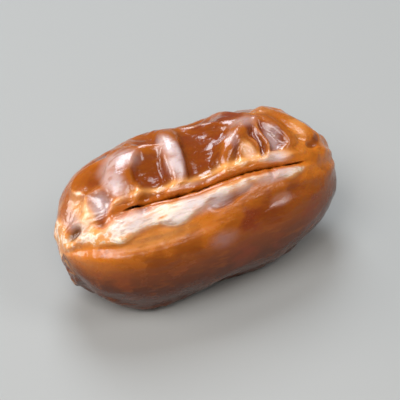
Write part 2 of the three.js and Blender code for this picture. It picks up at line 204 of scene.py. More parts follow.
# The pit that the stem's scar leaves, and the gathers and slow unevenness of the skin, as in the model
SCAR = (-18.1, 25)  # x and angle
SCAR_SIZE = (1.2, 0.62, 2)  # half sizes along the date, across and through it
SCAR_DEPTH = 0.38
COLLAR = 0.22
COLLAR_REACH = 1.7  # in the scar's own half sizes from its middle
COLLAR_WIDTH = 0.5
GATHERS = 9
GATHER_HEIGHT = 0.2
GATHER_GIRTH = 0.5  # they are highest where the body is this thick beside its middle
GATHER_SPREAD = 0.24
SWELL = 0.3
TWIST = 0.18

# Where the skin is drawn tight, in front below the slit, and where it is creased most, over the back and the
# underside. The angles are in degrees.
TAUT_ANGLES = ((-112, -78), (-8, 12))
TAUT_ENDS = (13.5, 18.5)  # along X, each way
TAUT_AT_ENDS = 0.5
TAUT_LOSS = 0.76  # how much of the fine relief the tight skin loses
CREASED_ANGLES = ((95, 130), (262, 282))

# Fine relief that only this script adds. A SCALE is per millimetre, and a LENGTH is the share of it along X,
# where less draws the relief out.
OCTAVE_FALL = 1.0  # how fast the noise's finer octaves weaken
OCTAVE_STEP = 2.0  # how much finer each is than the last
CREASE_SCALE = 0.21
CREASE_LENGTH = 0.72
CREASE_WARP = 3.2
CREASE_WARP_SCALE = 0.13
CREASE_BLUNTNESS = 0.03
CREASE_POWER = 5  # how narrow the ridges are beside the hollows
CREASE_MIDDLE = 0.42  # what comes off again, so that the date doesn't swell
CREASE_HEIGHT = 0.2
CREASE_SEEN = 0.1  # the share of it that is left on the side with the larger facets
CREASE_GIRTH = (0.1, 0.5)  # it fades out at the ends, as the body's girth falls from the second to the first
CELL_LENGTH = 0.62
CELL_WARP = 0.45
CELL_WARP_SCALE = 0.45  # beside the cells' own
CELL_CREST = 0.2
SMALL_FACET_SCALE = 0.62
SMALL_FACET_HEIGHT = 0.2
SMALL_SEEN = 0.18  # the same share of the small and the tiny facets
TINY_FACET_SCALE = 1.5
TINY_FACET_HEIGHT = 0.05
PATCH_SCALE = 0.17
PATCH_EDGE = (-0.25, 0.3)
PATCH_LEAST = 0.2
FINE_SCALE = 0.62
FINE_LENGTH = 0.6
FINE_HEIGHT = 0.05
FINE_SEEN = 0.55  # and of the puckers and ripples
FINE_TAUT = 0.45  # and of these where the skin would be quite tight
FINE_GIRTH = (0, 0.3)
RIPPLE_SCALE = 1.5
RIPPLE_LENGTH = 0.25
RIPPLE_HEIGHT = 0.035
FLESH_SCALE = 1.4
FLESH_GRAIN = 0.16
FLESH_FADE = 0.25  # the share of the slit's profile over which its grain fades out towards the lip

# How much a fold and a lip count as raised skin, which is paler
FOLD_PALENESS = 0.1
LIP_PALENESS = 1.2
# Painted shade: the flank counts as less raised low down, so that it is painted darker there
LOW_PAINTED_SHADE = 0.45  # how much less so the flank does low down
LOW_SHADE_FLANK = (3, 12)  # round the skin below the slit

# Spots on the skin: x, angle, half sizes along and across, and strength. CLINGING is dark and glossy, as the
# skin lies on the flesh there. The pale spots are tan, as it has come away, and in places painted highlights.
# The greyish spots are painted sheen: highlights painted on where the skin faces the light.
CLINGING = [
    (4.4, -29, 4.4, 1.9, 0.8),
    (-2.4, 76, 2.2, 1.6, 0.9),
    (4.6, 64, 4.0, 1.8, 1.0),
    (15.6, 66, 2.6, 1.6, 0.6),
    (-1.4, -38, 2.6, 1.8, 0.55),
    (9.4, -24, 3.4, 1.6, 0.55),
    (12.0, -44, 4.4, 2.6, 0.55),
    (2.0, -52, 7.0, 2.2, 0.55),
    (-15.5, -55, 2.4, 2.2, 0.55),
]
# Pale tan spots where the skin has come away, and in places a painted highlight
PALE_AND_HIGHLIGHT = [
    (5.2, 23, 1.0, 1.4, 0.9),
    # A painted highlight on the upper lip towards the tip
    (9.4, 12, 1.8, 0.8, 0.7),
    (13.6, 40, 1.2, 2.4, 0.5),
    (10.2, 62, 2.0, 1.2, 0.4),
    (-16.6, 40, 1.4, 2.6, 0.7),
    (-9.5, -19, 5.0, 1.2, 0.5),
]
# Painted sheen: greyish highlights painted on the ridges, facets, stem end and lips
PAINTED_SHEEN = [
    (-3.7, 45, 1.0, 2.5, 1.0),
    (-4.3, 31, 0.9, 1.6, 0.9),
    (-10.2, 55, 2.4, 1.5, 0.8),
    (-12.0, 40, 1.2, 2.2, 0.7),
    (-14.5, 30, 1.3, 1.5, 0.7),
    (-12.0, 2, 3.2, 1.4, 0.9),
    (-4.0, -3, 2.6, 1.2, 0.95),
    (-6.6, -8, 2.0, 0.9, 0.7),
    (-1.6, -5, 2.6, 1.0, 0.85),
    (2.6, -4, 1.6, 0.7, 0.5),
    (7.4, -3, 2.8, 0.8, 0.95),
    (-17.6, 30, 1.2, 2.0, 0.6),
    (-4.0, 11, 2.4, 0.6, 0.5),
    (8.6, 10, 1.8, 0.9, 1.0),
    (3.8, 38, 0.8, 1.4, 0.3),
    (6.8, 50, 1.6, 1.0, 0.5),
    (5.2, 22, 0.8, 1.0, 0.4),
    (9.6, 30, 0.9, 1.6, 0.6),
    (-1.7, -36, 1.8, 1.0, 0.17),
    (7.2, -24, 1.4, 0.7, 0.28),
]

# From where to where each kind of spot fades, in its own half sizes
CLINGING_FADE = (0, 2.2)
PALE_AND_HIGHLIGHT_FADE = (0.4, 1.4)
PAINTED_SHEEN_FADE = (0.3, 1.5)
SCAR_FADE = (0.5, 1.3)

# Bands of colour. AT and REACH are round the skin from the slit's middle, and ALONG is where a band rises and
# falls along X.
GROOVE_AT = 0.1  # the burnt-orange strip between the lips
GROOVE_REACH = 0.78
GROOVE_ALONG = ((-16.5, -13), (9.5, 13))
EDGE_AT = 1.45  # the tan crest of the upper lip
EDGE_REACH = 0.45
EDGE_ALONG = ((-12.5, -9.5), (8.5, 12))
# Paler skin round the stem's scar, partly its own papery tan and partly a painted highlight
RIM_AT = 2.5  # the pale skin round the stem's scar
RIM_REACH = 5.0
RIM_ENDS = (-17.5, -13.5)  # along X
UPPER_FROM = (0.4, 2.4)  # the darker skin above the slit
UPPER_ENDS = (10, 15)
DUSK_FROM = (1.2, 3.0)  # the darker flank below the slit, towards the tip
DUSK_ALONG = (-5, 7)
# The darker underside, partly the date's own colour and partly painted shade, fading up the flank in front
UNDER_AND_SHADE_ANGLES = ((150, 230), (290, 345))  # degrees
FLESH_SHOWS = 0.7  # how far out from the neck to the lip the flesh begins to show
# Painted shade deep in the slit's hollow, below this place in its profile
DEEP_SHADE_FROM = 0.3  # the place in the slit's profile below which it is deep

OUT = np.array([0, -math.sin(SLIT_LEAN), math.cos(SLIT_LEAN)])
ACROSS = np.array([0, math.cos(SLIT_LEAN), math.sin(SLIT_LEAN)])


def smooth(value, low, high):
    t = np.clip((value - low) / (high - low), 0, 1)
    return t * t * (3 - 2 * t)


def bell(value, width):
    return np.exp(-((value / width) ** 2))


def cusp(value, width):
    """A ridge that is almost an edge on top."""
    return np.exp((CUSP_BLUNTNESS - np.sqrt(value ** 2 + CUSP_BLUNTNESS ** 2)) / width)


def lerp(a, b, t):
    return a + (b - a) * t


def between(value, rise, fall):
    """1 between two places and 0 outside them. Each of its soft ramps is (from, to)."""
    return smooth(value, *rise) * (1 - smooth(value, *fall))


# The plump body

def girth(station):
    place = -np.cos(station)
    power = np.where(place < 0, STEM_BLUNTNESS, TIP_BLUNTNESS)
    return np.sqrt(np.maximum(0, 1 - np.abs(place) ** power))


def section_radius(angle):
    out = np.abs(np.cos(angle)) / (THICKNESS / 2)
    across = np.abs(np.sin(angle)) / (WIDTH / 2)
    return (out ** SECTION_POWER + across ** SECTION_POWER) ** (-1 / SECTION_POWER)


def direction(angle):
    return np.cos(angle)[..., None] * OUT + np.sin(angle)[..., None] * ACROSS


def along_x(station):
    return -np.cos(station) * LENGTH / 2


def station_at(x):
    return np.arccos(np.clip(-2 * np.asarray(x, float) / LENGTH, -1, 1))


def body_point(station, angle):
    points = direction(angle) * (girth(station) * section_radius(angle))[..., None]
    points[..., 0] = along_x(station)
    return points


def unit(vectors):
    return vectors / np.linalg.norm(vectors, axis=-1, keepdims=True)


def body_frame(station, angle):
    s = np.clip(station, 2 * TINY, math.pi - 2 * TINY)
    along = unit(body_point(s + TINY, angle) - body_point(s - TINY, angle))
    round_ = unit(body_point(s, angle + TINY) - body_point(s, angle - TINY))
    out = unit(np.cross(along, round_))
    return along, np.cross(out, along), out


def on_body(x, angle):
    """The body's point and directions at one place, given in millimetres and degrees."""
    station = station_at(x)
    turned = np.radians(float(angle))
    return body_point(station, turned), body_frame(station, turned)


def half_sizes_off(offset, axes, sizes):
    """How far an offset from an ellipsoid's middle reaches, in its own half sizes."""
    return np.sqrt(sum((offset @ axis / size) ** 2 for axis, size in zip(axes, sizes)))


# The model's relief

def back_facets():
    """The model's facets over the back and the underside."""
    made = []
    for i in range(BACK_FACETS):
        a = (i + 1) * GOLDEN % 1
        b = ((i + 1) * GOLDEN * GOLDEN + BACK_SHIFT) % 1
        made.append((
            lerp(-BACK_REACH, BACK_REACH, (i + 0.5) / BACK_FACETS),
            lerp(BACK_FROM, BACK_TO, a),
            lerp(*BACK_ALONG, b * b),
            lerp(*BACK_ACROSS, (a + b) % 1),
            lerp(*BACK_TURN, (2 * a + b) % 1),
            lerp(*BACK_DEPTH, (a + 2 * b) % 1),
            lerp(*BACK_CLING, (2 * a + 2 * b) % 1),
        ))
    return made


def wandering(points):
    """The points moved a little, so that outlines laid on them are uneven."""
    x, y, z = points[..., 0], points[..., 1], points[..., 2]
    shift = np.stack([
        np.sin(1.1 * y + 0.8 * z + 0.5) + 0.5 * np.sin(2.3 * z - 1.3 * x),
        np.sin(0.9 * x - 1.0 * z + 2.1) + 0.5 * np.sin(2.1 * x + 1.7 * y),
        np.sin(0.8 * x + 1.2 * y + 4.0) + 0.5 * np.sin(1.9 * y - 2.2 * x),
    ], axis=-1)
    return points + WARP * shift


def facet_axes(x, angle, turn):
    """A facet's middle on the body, and its directions along, across and out."""
    centre, (along, across, out) = on_body(x, angle)
    swing = math.radians(turn)
    u = along * math.cos(swing) + across * math.sin(swing)
    v = across * math.cos(swing) - along * math.sin(swing)
    return centre, (u, v, out)


def facet_map(points):
    """What each point needs of the facet that it lies in, and of the next one."""
    moved = wandering(points)
    nearest = np.full(points.shape[:-1], FAR_OFF)
    second = nearest.copy()
    size, depth, next_depth, tone, side = (np.zeros(points.shape[:-1]) for _ in range(5))
    for x, angle, along, across, turn, own_depth, own_tone in FACETS + back_facets():
        centre, axes = facet_axes(x, angle, turn)
        offset = moved - centre
        far = half_sizes_off(offset, axes, (along, across, REACH_THROUGH))
        wins = far < nearest
        follows = ~wins & (far < second)
        next_depth = np.where(wins, depth, np.where(follows, own_depth, next_depth))
        second = np.where(wins, nearest, np.minimum(second, far))
        nearest = np.where(wins, far, nearest)
        size = np.where(wins, min(along, across), size)
        depth = np.where(wins, own_depth, depth)
        tone = np.where(wins, own_tone, tone)
        side = np.where(wins, offset @ axes[1] / across, side)
    return nearest, second, size, depth, next_depth, tone, side


def facet_height(points):
    """The height of the crests between the facets, that of their floors, and how closely the skin clings."""
    nearest, second, size, depth, next_depth, tone, side = facet_map(points)
    edge = (second - nearest) * size / 2
    there = 1 - smooth(nearest, *FACET_REACH)
    sunk = 1 - bell(edge, FACET_STEEPNESS * size)
    crest = CREST * np.minimum(1, CREST_LEAST + (depth + next_depth) / 2)
    crest = crest * cusp(edge, CREST_WIDTH + CREST_SHARE * size)
    return there * crest, -there * depth * sunk * (1 - LEAN * side), there * sunk * tone


def fold_height(points, start, middle, end, height, width):
    t = np.linspace(0, 1, FOLD_STEPS + 1)[:, None]
    curve = (1 - t) ** 2 * np.array(start) + 2 * t * (1 - t) * np.array(middle) + t ** 2 * np.array(end)
    chain = body_point(station_at(curve[:, 0]), np.radians(curve[:, 1]))
    gap = np.full(points.shape[:-1], np.inf)
    place = np.zeros(points.shape[:-1])
    for i in range(FOLD_STEPS):
        run = chain[i + 1] - chain[i]
        share = np.clip((points - chain[i]) @ run / (run @ run), 0, 1)
        distance = np.linalg.norm(points - chain[i] - share[..., None] * run, axis=-1)
        nearer = distance < gap
        gap = np.where(nearer, distance, gap)
        place = np.where(nearer, (i + share) / FOLD_STEPS, place)
    fade = np.sqrt(np.maximum(0, np.sin(math.pi * place)))
    return height * fade * np.exp(-((gap / (width * FOLD_CRISPNESS)) ** FOLD_FLATNESS))


def slit_angle(x):
    """Where the slit's middle lies round the body, in radians."""
    return (SLIT_ASIDE - SLIT_TURN * x + SLIT_WANDER * np.sin(x / WANDER_LENGTH)) / (THICKNESS / 2)


def openness(x):
    """How open the slit is, from 0 to 1."""
    return between(x, (SLIT_START, SLIT_START + SLIT_RAMP), (SLIT_END - SLIT_RAMP, SLIT_END))


def taper(x):
    """How wide the mouth is beside its full width, before it is narrowed at its ends."""
    return between(x, (SLIT_START, SLIT_START + SLIT_TAPER), (SLIT_END - SLIT_TAPER, SLIT_END))


def arc_from_slit(station, angle):
    """How far round the skin from the slit's middle, and below 0 in front of it."""
    side = angle - slit_angle(along_x(station))
    return np.arctan2(np.sin(side), np.cos(side)) * (THICKNESS / 2) * girth(station)


def waves(x, kinds):
    return sum(height * np.sin(turns * x + phase) for height, turns, phase in kinds)


def lower_lip(x, arc, wander):
    """A roll that is broad towards the stem end, and ends in a steep edge."""
    slims = smooth(x, *LOWER_LIP_SLIMS)
    broad = lerp(LOWER_LIP_STEM_WIDTH, LOWER_LIP_WIDTH, slims)
    broad = broad - (LOWER_LIP_WIDTH - LOWER_LIP_TIP_WIDTH) * smooth(x, *LOWER_LIP_TIP)
    edge = (broad + LOWER_LIP_WIDENS * wander) * smooth(x, *LOWER_LIP_STARTS)
    height = lerp(LOWER_LIP_STEM_HEIGHT, LOWER_LIP_HEIGHT, slims) * (1 + LOWER_LIP_LIFTS * wander)
    inner, outer = LOWER_LIP_EDGE
    return height * smooth(-arc, 0, LOWER_LIP_ROLL * broad) * (1 - smooth(-arc, edge - inner, edge + outer))


def upper_lip(x, arc, wander):
    uneven = 1 + waves(x, UPPER_LIP_WAVES)
    return UPPER_LIP_HEIGHT * uneven * bell(arc - UPPER_LIP_AT + wander, UPPER_LIP_WIDTH)


def lip_height(x, arc):
    wander = waves(x, LIP_WAVES)
    return between(x, *LIPS_ALONG) * (lower_lip(x, arc, wander) + upper_lip(x, arc, wander))


def seam_height(x, arc):
    """The line on which the slit closed up between its end and the scar."""
    closed = between(x, SEAM_FROM, (SLIT_START, SLIT_START + SLIT_RAMP))
    return -SEAM_DEPTH * closed * bell(arc, SEAM_WIDTH)


def calmed(x, arc):
    """The share of the wrinkles that is left, as they run out towards the slit."""
    return 1 - LIP_CALM * openness(x) * bell(arc, LIP_CALM_REACH)


def scar_distance(points):
    """How far from the scar's middle, in its own half sizes."""
    centre, axes = on_body(*SCAR)
    return half_sizes_off(points - centre, axes, SCAR_SIZE)


def scar_height(points):
    far = scar_distance(points)
    return COLLAR * bell(far - COLLAR_REACH, COLLAR_WIDTH) - SCAR_DEPTH * np.exp(-(far ** 4))


def gather_height(station, angle):
    uneven = 0.7 + 0.3 * np.sin(3 * angle + 1.2)
    wave = np.sin(GATHERS * angle + 1.4 * np.sin(2 * angle) + 0.6)
    return GATHER_HEIGHT * uneven * bell(girth(station) - GATHER_GIRTH, GATHER_SPREAD) * wave


def unevenness(x, angle):
    """Slow swellings, as no date is a true oval."""
    slow = SWELL * np.sin(0.24 * x + 1.1) * np.cos(2 * angle + 0.7)
    return slow + TWIST * np.sin(0.46 * x) * np.sin(3 * angle + 0.4)


# The fine relief

def sampled(points, scale, octaves, shift):
    """Fractal noise at each point, about -1 to 1. The shift picks a place in the noise, as a seed would."""
    moved = (np.asarray(points) * scale + shift).reshape(-1, 3).tolist()
    values = [noise.fractal(p, OCTAVE_FALL, OCTAVE_STEP, octaves) for p in moved]
    return np.array(values).reshape(np.shape(points)[:-1])


def crease_height(points):
    """A net of narrow rounded ridges with wide hollows between them, drawn out along the date."""
    drawn = points * np.array([CREASE_LENGTH, 1, 1])
    warp = np.stack([sampled(drawn, CREASE_WARP_SCALE, 2, shift) for shift in (3.1, 17.7, 41.3)], axis=-1)
    value = sampled(drawn + CREASE_WARP * warp, CREASE_SCALE, 2, shift=9.4)
    ridge = 1 - np.sqrt(value ** 2 + CREASE_BLUNTNESS ** 2)
    return CREASE_HEIGHT * (np.clip(ridge, 0, 1) ** CREASE_POWER - CREASE_MIDDLE)


def cellular_height(points, scale, shift):
    """Small angular facets between narrow crests, from 0 in their middles to 1 on the crests."""
    drawn = points * np.array([CELL_LENGTH, 1, 1])
    warp = [sampled(drawn, CELL_WARP_SCALE * scale, 2, shift + turn) for turn in (0.0, 5.3, 11.9)]
    moved = drawn * scale + CELL_WARP * np.stack(warp, axis=-1) + shift
    distances = [noise.voronoi(p)[0] for p in moved.reshape(-1, 3).tolist()]
    edges = np.array([second - nearest for nearest, second, *_ in distances])
    return cusp(edges.reshape(points.shape[:-1]), CELL_CREST)


def patchiness(points):
    """Where the small facets are strong, from PATCH_LEAST to 1."""
    return lerp(PATCH_LEAST, 1, smooth(sampled(points, PATCH_SCALE, 2, shift=62.0), *PATCH_EDGE))


def pucker_height(points):
    """Small puckers, and ripples that run along the date."""
    value = sampled(points * np.array([FINE_LENGTH, 1, 1]), FINE_SCALE, 3, shift=57.0)
    ripple = sampled(points * np.array([RIPPLE_LENGTH, 1, 1]), RIPPLE_SCALE, 2, shift=23.0)
    return FINE_HEIGHT * (0.5 - np.abs(value)) * 2 + RIPPLE_HEIGHT * ripple


def tautness(station, angle):
    """How smooth the skin is. The flank in front is drawn tight, and the rest is creased."""
    degrees = np.degrees(np.arctan2(np.sin(angle), np.cos(angle)))
    ends = smooth(np.abs(along_x(station)), *TAUT_ENDS)
    return between(degrees, *TAUT_ANGLES) * (1 - TAUT_AT_ENDS * ends)


def fine_relief(station, angle):
    """The creases, the small facets, and all else that is finer than them, each as its height."""
    points = body_point(station, angle)
    loose = 1 - TAUT_LOSS * tautness(station, angle)
    creased = between(np.degrees(angle) % 360, *CREASED_ANGLES)
    creases = crease_height(points) * lerp(CREASE_SEEN, 1, creased) * loose
    creases = creases * smooth(girth(station), *CREASE_GIRTH)
    shown = loose * lerp(SMALL_SEEN, 1, creased)
    small = SMALL_FACET_HEIGHT * cellular_height(points, SMALL_FACET_SCALE, 4.7) * patchiness(points) * shown
    tiny = TINY_FACET_HEIGHT * cellular_height(points, TINY_FACET_SCALE, 13.1) * shown
    puckers = pucker_height(points) * lerp(FINE_TAUT, lerp(FINE_SEEN, 1, creased), loose)
    return creases, small, (puckers + small + tiny) * smooth(girth(station), *FINE_GIRTH)


def relief(station, angle):
    """The skin's height over the plump body, how far it counts as raised, and how closely it clings. The
    second also darkens the hollows, partly as painted shade.
    """
    points = body_point(station, angle)
    x = along_x(station)
    arc = arc_from_slit(station, angle)
    crests, floors, cling = facet_height(points)
    folds = sum(fold_height(points, *one) for one in FOLDS)
    facets = (floors + crests) * (1 - smooth(folds, 0, FOLD_SMOOTHS))
    creases, small, fine = fine_relief(station, angle)
    form = girth(station) * unevenness(x, angle) + gather_height(station, angle) + scar_height(points)
    lips = lip_height(x, arc)
    height = form + lips + seam_height(x, arc) + (facets + folds + creases + fine) * calmed(x, arc)
    loft_and_shade = facets + FOLD_PALENESS * folds + creases + small + LIP_PALENESS * lips
    return height, loft_and_shade, cling * calmed(x, arc)


def raised(station, angle, height):
    return body_point(station, angle) + body_frame(station, angle)[2] * height[..., None]


# The slit's profile, with a ragged mouth

def raggedness(x, hand):
    """How uneven the slit's edge is along X, about -1 to 1. The hand is 1 at the back and -1 in front."""
    across, up = RAGGED_PLACE
    line = np.stack([x * RAGGED_SCALE, np.full_like(x, across * hand), np.full_like(x, up)], axis=-1)
    return sampled(line, 1.0, 3, shift=71.0)


def profile_width(place, x, hand):
    """Half the slit's width at a place in its profile, from the hollow's floor, at 0, to the lip, at 1."""
    mouth = (GAP + GAPE * bell(x - GAPE_AT, GAPE_REACH)) * (1 + MOUTH_RAGGED * raggedness(x, hand))
    mouth = mouth * lerp(MOUTH_NARROWING, 1, taper(x))
    lip = LIP * (1 + LIP_RAGGED * raggedness(x + RAGGED_APART, hand)) * lerp(LIP_NARROWING, 1, taper(x))
    outer = mouth + lip * ((place - NECK) / (1 - NECK)) ** 2
    inner = mouth * place / NECK + HOLLOW * np.sin(math.pi * np.minimum(place, NECK) / NECK) ** 2
    return np.where(place > NECK, outer, inner)


def wall_spread(station, place, hand):
    """How far round the skin a place in the slit's profile lies from its middle, in radians."""
    x = along_x(station)
    open_spread = profile_width(place, x, hand) / (THICKNESS / 2 * girth(station))
    closed_spread = SEAM_SPREAD * lerp(place ** SEAM_POWER, place, SEAM_LEAST)
    return lerp(closed_spread, open_spread, openness(x))


def wall(station, place, hand):
    """One wall of the slit: its points, and the angle, raised height and clinging of each."""
    x = along_x(station)
    middle = slit_angle(x)
    angle = middle + hand * wall_spread(station, place, hand)
    lip_angle = middle + hand * wall_spread(station, np.ones_like(place), hand)
    own, wrinkles, cling = relief(station, angle)
    height = lerp(own, relief(station, lip_angle)[0] * place, openness(x))
    rising = place ** lerp(RISING_POWER, 1, openness(x))
    down = SLIT_DEPTH * openness(x) * np.cos(math.pi / 2 * rising) ** 2
    points = raised(station, angle, height) - direction(middle) * down[..., None]
    rough = FLESH_GRAIN * sampled(points, FLESH_SCALE, 3, shift=88.0)
    rough = rough * openness(x) * smooth(1 - place, 0, FLESH_FADE)
    return points + ACROSS * (hand * rough)[..., None], angle, wrinkles, cling


def skin(station):
    """The skin from lip to lip, with the same four values as a wall."""
    turn = 2 * np.pi * np.arange(1, SKIN_LINES)[None, :] / SKIN_LINES
    share = (turn - CROWDING * np.sin(turn)) / (2 * np.pi)
    ones = np.ones_like(station)
    low = wall_spread(station, ones, 1)
    high = 2 * np.pi - wall_spread(station, ones, -1)
    angle = slit_angle(along_x(station)) + lerp(low, high, share)
    skin_station = station + 0 * angle
    height, wrinkles, cling = relief(skin_station, angle)
    return raised(skin_station, angle, height), angle, wrinkles, cling


def surface():
    """Every point of the rings, with its station, angle, place in the slit's profile, and what colours it."""
    station = (np.pi * np.arange(1, RINGS) / RINGS)[:, None]
    wall_place = np.sin(np.pi / 2 * np.linspace(0, 1, WALL_LINES + 1))[None, :] + 0 * station
    wall_station = station + 0 * wall_place
    back = wall(wall_station, wall_place, 1)
    front = wall(wall_station[:, 1:], wall_place[:, :0:-1], -1)
    middle = skin(station)
    names = ("points", "angle", "wrinkles", "cling")
    made = {name: np.concatenate(parts, axis=1) for name, *parts in zip(names, back, middle, front)}
    made["place"] = np.concatenate([wall_place, np.ones_like(middle[1]), wall_place[:, :0:-1]], axis=1)
    made["station"] = station + 0 * made["place"]
    return made


# Masks that the material reads, one value a point. The first is a height, with painted shade taken off it low
# on the flank, and the others run from 0 to 1.

def spot_mask(points, spots, fade):
    """How strong the spots are at each point. They fade over a stretch of their own half sizes."""
    value = np.zeros(points.shape[:-1])
    for x, angle, along, across, strength in spots:
        centre, axes = on_body(x, angle)
        far = half_sizes_off(points - centre, axes, (along, across, REACH_THROUGH))
        value = np.maximum(value, strength * (1 - smooth(far, *fade)))
    return value


def masks(made):
    points = body_point(made["station"], made["angle"])
    x = along_x(made["station"])
    arc = arc_from_slit(made["station"], made["angle"])
    taut = tautness(made["station"], made["angle"])
    cling = np.maximum(spot_mask(points, CLINGING, CLINGING_FADE), made["cling"])
    return {
        # The skin's height, with painted shade taken off it low on the flank
        "loft_and_shade": made["wrinkles"] - LOW_PAINTED_SHADE * smooth(-arc, *LOW_SHADE_FLANK) * taut,
        "cling": np.clip(cling, 0, 1),
        "taut": taut,
        # Pale skin, partly painted highlight
        "pale": spot_mask(points, PALE_AND_HIGHLIGHT, PALE_AND_HIGHLIGHT_FADE),
        # Painted sheen, greyish highlights painted on the skin
        "painted_sheen": spot_mask(points, PAINTED_SHEEN, PAINTED_SHEEN_FADE),
        "scar": 1 - smooth(scar_distance(points), *SCAR_FADE),
        "slit": openness(x) * (1 - smooth(made["place"], lerp(NECK, 1, FLESH_SHOWS), 1)),
        # Painted shade deep in the slit's hollow
        "hollow": openness(x) * (1 - smooth(made["place"], DEEP_SHADE_FROM, NECK)),
        "groove": bell(arc - GROOVE_AT, GROOVE_REACH) * between(x, *GROOVE_ALONG),
        "edge": bell(arc - EDGE_AT, EDGE_REACH) * between(x, *EDGE_ALONG),
        # Paler skin round the stem's scar, partly a painted highlight
        "rim_and_highlight": bell(arc - RIM_AT, RIM_REACH) * (1 - smooth(x, *RIM_ENDS)),
        "upper": smooth(arc, *UPPER_FROM) * (1 - smooth(x, *UPPER_ENDS)),
        "dusk": smooth(x, *DUSK_ALONG) * smooth(-arc, *DUSK_FROM),
        # The darker underside, partly the date's own colour and partly painted shade
        "under": between(np.degrees(made["angle"]) % 360, *UNDER_AND_SHADE_ANGLES),
    }


def faces_of(rings, count):
    """Triangles at the ends and quads between the rings, facing out."""
    near = 1 + np.arange(rings - 1)[:, None] * count + np.arange(count)[None, :]
    near_next = 1 + np.arange(rings - 1)[:, None] * count + (np.arange(count)[None, :] + 1) % count
    quads = np.stack([near, near + count, near_next + count, near_next], axis=-1).reshape(-1, 4)
    j = np.arange(count)
    following = (j + 1) % count
    last = 1 + rings * count
    start = np.stack([0 * j, 1 + j, 1 + following], axis=-1)
    end = np.stack([last + 0 * j, last - count + following, last - count + j], axis=-1)
    return start.tolist() + quads.tolist() + end.tolist()


def settled(points):
    """Puts the points where the model's node is, and lets them rest flat on the surface."""
    low, high = (np.array(corner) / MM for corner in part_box(NODE))
    middle = (points.min(axis=0) + points.max(axis=0)) / 2
    moved = points - middle
    moved[:, :2] += ((low + high) / 2)[:2]
    moved[:, 2] += high[2] - moved[:, 2].max()
    moved[:, 2] = np.maximum(0, moved[:, 2])
    return moved


def end_point(station):
    """The one point that closes the mesh at an end."""
    station = np.array([station])
    angle = np.zeros(1)
    return raised(station, angle, relief(station, angle)[0])


def date_object():
    made = surface()
    rings, count = made["place"].shape
    points = settled(np.concatenate([end_point(0.0), made["points"].reshape(-1, 3), end_point(np.pi)]))
    mesh = bpy.data.meshes.new("date_skin")
    mesh.from_pydata((points * MM).tolist(), [], faces_of(rings, count))
    for name, values in masks(made).items():
        flat = np.concatenate([values[0, :1], values.ravel(), values[-1, :1]]).astype(np.float32)
        mesh.attributes.new(name, "FLOAT", "POINT").data.foreach_set("value", flat)
    mesh.shade_smooth()
    date = bpy.data.objects.new("date", mesh)
    bpy.context.scene.collection.objects.link(date)
    return date


# Materials

CARAMEL = (0.43, 0.114, 0.005, 1)
AMBER = (0.21, 0.046, 0.0015, 1)
# Partly the underside's own dark brown and partly painted shade
UNDERSIDE_AND_SHADE = (0.07, 0.013, 0.001, 1)
DARK = (0.15, 0.028, 0.001, 1)
MAROON = (0.15, 0.023, 0.003, 1)
TAN = (0.60, 0.260, 0.070, 1)
CREAM = (0.76, 0.620, 0.480, 1)
# The colour of the painted sheen
PAINTED_SHEEN_GREY = (0.47, 0.375, 0.360, 1)
FLESH = (0.34, 0.080, 0.005, 1)
# Painted shade deep in the slit
DEEP_SHADE = (0.16, 0.030, 0.002, 1)
SCAR_BROWN = (0.11, 0.030, 0.003, 1)

# Noises of the skin, from broad patches down to pores: scale per metre, detail, and the share of that scale
# along X, where less draws them out
NOISES = {
    "broad": (160, 2, 1),
    "blotch": (520, 4, 0.6),
    "streak": (1500, 3, 0.22),
    "speck": (2600, 2, 1),
    "pores": (5200, 2, 0.5),
}
NOISE_ROUGHNESS = 0.55


def put(tree, kind, inputs=None, **settings):
    """Adds a node. An input's value is a number, a colour or the socket that feeds it."""
    made = tree.nodes.new(kind)
    for name, value in settings.items():
        setattr(made, name, value)
    for name, value in (inputs or {}).items():
        if isinstance(value, bpy.types.NodeSocket):
            tree.links.new(value, made.inputs[name])
        else:
            made.inputs[name].default_value = value
    return made


def read(tree, name):
    return put(tree, "ShaderNodeAttribute", attribute_name=name).outputs["Fac"]


def maths(tree, operation, a, b):
    return put(tree, "ShaderNodeMath", {0: a, 1: b}, operation=operation).outputs[0]


def mixed(tree, share, first, second):
    return put(tree, "ShaderNodeMix", {0: share, 6: first, 7: second}, data_type="RGBA").outputs[2]


def ranged(tree, value, low, high, to_low=0.0, to_high=1.0):
    inputs = {"Value": value, "From Min": low, "From Max": high, "To Min": to_low, "To Max": to_high}
    return put(tree, "ShaderNodeMapRange", inputs, interpolation_type="SMOOTHSTEP").outputs[0]


def laid_over(tree, colour, mask, strength, top):
    """Lays the top colour over another where a mask is strong. The strength is a number or a socket."""
    return mixed(tree, maths(tree, "MULTIPLY", read(tree, mask), strength), colour, top)


def grains(tree):
    """The sockets of the skin's noises, by name."""
    place = put(tree, "ShaderNodeTexCoord").outputs["Object"]
    made = {}
    for name, (scale, detail, along) in NOISES.items():
        drawn = put(tree, "ShaderNodeVectorMath", {0: place, 1: (along, 1, 1)}, operation="MULTIPLY")
        inputs = {"Vector": drawn.outputs[0], "Scale": scale, "Detail": detail, "Roughness": NOISE_ROUGHNESS}
        made[name] = put(tree, "ShaderNodeTexNoise", inputs).outputs["Fac"]
    return made


def skin_state(tree, blotch):
    """How closely the skin clings, from 0 to 1, and how far it is raised, both made patchy. The second
    carries painted shade as well.
    """
    cling = maths(tree, "ADD", read(tree, "cling"), ranged(tree, blotch, 0.25, 0.75, -0.35, 0.35))
    loft_and_shade = maths(tree, "ADD", read(tree, "loft_and_shade"), ranged(tree, blotch, 0.25, 0.75, -0.14, 0.14))
    # Paler round the stem's scar, partly real papery skin and partly a painted highlight
    loft_and_shade = maths(tree, "ADD", loft_and_shade, maths(tree, "MULTIPLY", read(tree, "rim_and_highlight"), 0.45))
    return ranged(tree, cling, 0.2, 0.95), loft_and_shade


